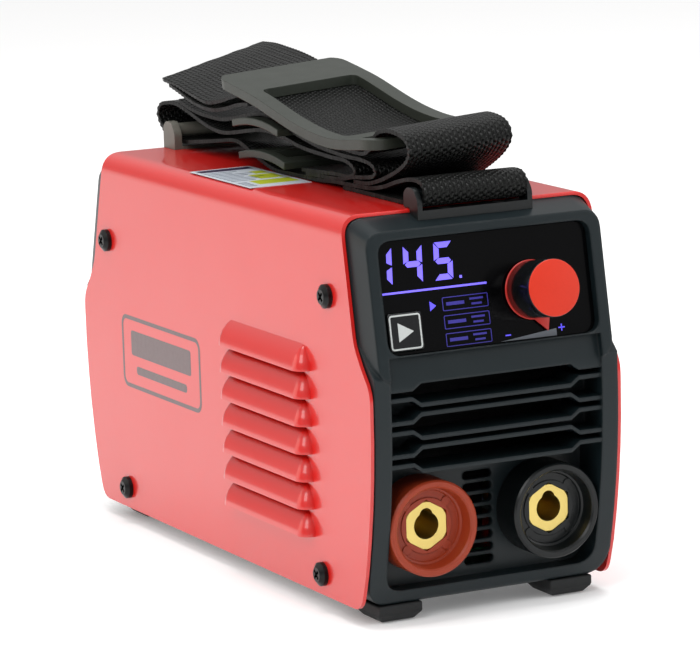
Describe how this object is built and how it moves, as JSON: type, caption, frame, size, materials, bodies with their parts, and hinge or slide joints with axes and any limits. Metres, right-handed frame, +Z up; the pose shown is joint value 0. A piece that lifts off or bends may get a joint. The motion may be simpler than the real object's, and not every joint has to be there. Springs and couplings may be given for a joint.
{
  "type": "stick welding inverter",
  "caption": "Small welding power source with a bowed sheet-steel cover, leaned front control panel, front cable sockets, rear fan and a folded carrying strap.",
  "frame": {"origin": "on the floor plane under the middle of the bounding box", "axes": "+Z up, +Y from the front panel to the rear panel, +X to the right as seen by someone who faces the front panel"},
  "size_m": [0.102, 0.244, 0.17],
  "materials": {
    "cover": "gloss enamel",
    "base_tray": "zinc plated",
    "front_bezel": "fine grain",
    "rear_panel": "fine grain",
    "feet": "matt",
    "display_window": "gloss",
    "led_display": "gloss",
    "display_board": "solder mask",
    "button_switch": "matt",
    "mode_button": "satin",
    "encoder_body": "satin",
    "encoder_shaft": "turned",
    "knob_skirt": "gloss",
    "knob_cap": "satin",
    "knob_pointer": "satin",
    "collar_positive": "moulded",
    "insert_positive": "turned",
    "collar_negative": "moulded",
    "insert_negative": "turned",
    "socket_washers": "zinc plated",
    "socket_nuts": "turned",
    "output_busbars": "rolled copper",
    "main_board": "solder mask",
    "board_standoffs": "turned",
    "board_screws": "zinc plated",
    "transformer_core": "sintered ferrite",
    "transformer_windings": "enamelled copper",
    "choke_core": "coated powder core",
    "choke_winding": "enamelled copper",
    "heat_sink_left": "extruded",
    "heat_sink_right": "extruded",
    "power_transistors": "moulded",
    "bulk_capacitors": "sleeve",
    "bridge_rectifier": "moulded",
    "control_card": "solder mask",
    "fan_frame": "moulded",
    "fan_rotor": "moulded",
    "fan_screws": "zinc plated",
    "switch_body": "moulded",
    "power_rocker": "gloss",
    "gland_body": "moulded",
    "gland_cap": "moulded",
    "gland_nut": "moulded",
    "cover_screws": "black oxide",
    "clip_nuts": "phosphated",
    "tray_screws": "zinc plated",
    "front_strap_bracket": "moulded",
    "rear_strap_bracket": "moulded",
    "bracket_screws": "zinc plated",
    "strap_webbing_lower": "woven",
    "strap_webbing_upper": "woven",
    "strap_webbing_tail": "woven",
    "handle_plate": "satin moulded",
    "slide_upper": "satin moulded",
    "slide_lower": "satin moulded",
    "rating_label": "printed film",
    "shield_sheet": "pressed fibre"
  },
  "bodies": {
    "machine": {"cover": "cover", "base_tray": "base_tray", "front_bezel": "front_bezel", "rear_panel": "rear_panel", "feet": "feet", "display_window": "display_window", "led_display": "led_display", "display_board": "display_board", "button_switch": "button_switch", "encoder_body": "encoder_body", "collar_positive": "collar_positive", "insert_positive": "insert_positive", "collar_negative": "collar_negative", "insert_negative": "insert_negative", "socket_washers": "socket_washers", "socket_nuts": "socket_nuts", "output_busbars": "output_busbars", "main_board": "main_board", "board_standoffs": "board_standoffs", "board_screws": "board_screws", "transformer_core": "transformer_core", "transformer_windings": "transformer_windings", "choke_core": "choke_core", "choke_winding": "choke_winding", "heat_sink_left": "heat_sink_left", "heat_sink_right": "heat_sink_right", "power_transistors": "power_transistors", "bulk_capacitors": "bulk_capacitors", "bridge_rectifier": "bridge_rectifier", "control_card": "control_card", "fan_frame": "fan_frame", "fan_screws": "fan_screws", "switch_body": "switch_body", "gland_body": "gland_body", "gland_cap": "gland_cap", "gland_nut": "gland_nut", "cover_screws": "cover_screws", "clip_nuts": "clip_nuts", "tray_screws": "tray_screws", "front_strap_bracket": "front_strap_bracket", "rear_strap_bracket": "rear_strap_bracket", "bracket_screws": "bracket_screws", "strap_webbing_lower": "strap_webbing_lower", "strap_webbing_upper": "strap_webbing_upper", "strap_webbing_tail": "strap_webbing_tail", "handle_plate": "handle_plate", "slide_upper": "slide_upper", "slide_lower": "slide_lower", "rating_label": "rating_label", "shield_sheet": "shield_sheet"},
    "knob": {"encoder_shaft": "encoder_shaft", "knob_skirt": "knob_skirt", "knob_cap": "knob_cap", "knob_pointer": "knob_pointer"},
    "mode_button": {"mode_button": "mode_button"},
    "fan_rotor": {"fan_rotor": "fan_rotor"},
    "power_rocker": {"power_rocker": "power_rocker"}
  },
  "joints": [
    {"name": "knob_turn", "type": "hinge", "parent": "machine", "child": "knob", "pos_m": [0.016, -0.1067, 0.1062], "axis": [0, 0.9848, -0.1736], "continuous": true},
    {"name": "button_press", "type": "slide", "parent": "machine", "child": "mode_button", "axis": [0, 0.9848, -0.1736], "range_m": [0, 0.0006], "stiffness_N_per_m": 1500, "springref_m": -0.0005},
    {"name": "rocker_tilt", "type": "hinge", "parent": "machine", "child": "power_rocker", "pos_m": [0.018, 0.10251, 0.10594], "axis": [1, 0, 0], "range_deg": [0, 18]},
    {"name": "fan_spin", "type": "hinge", "parent": "machine", "child": "fan_rotor", "pos_m": [0, 0.09291, 0.0505], "axis": [0, 1, 0], "continuous": true}
  ]
}
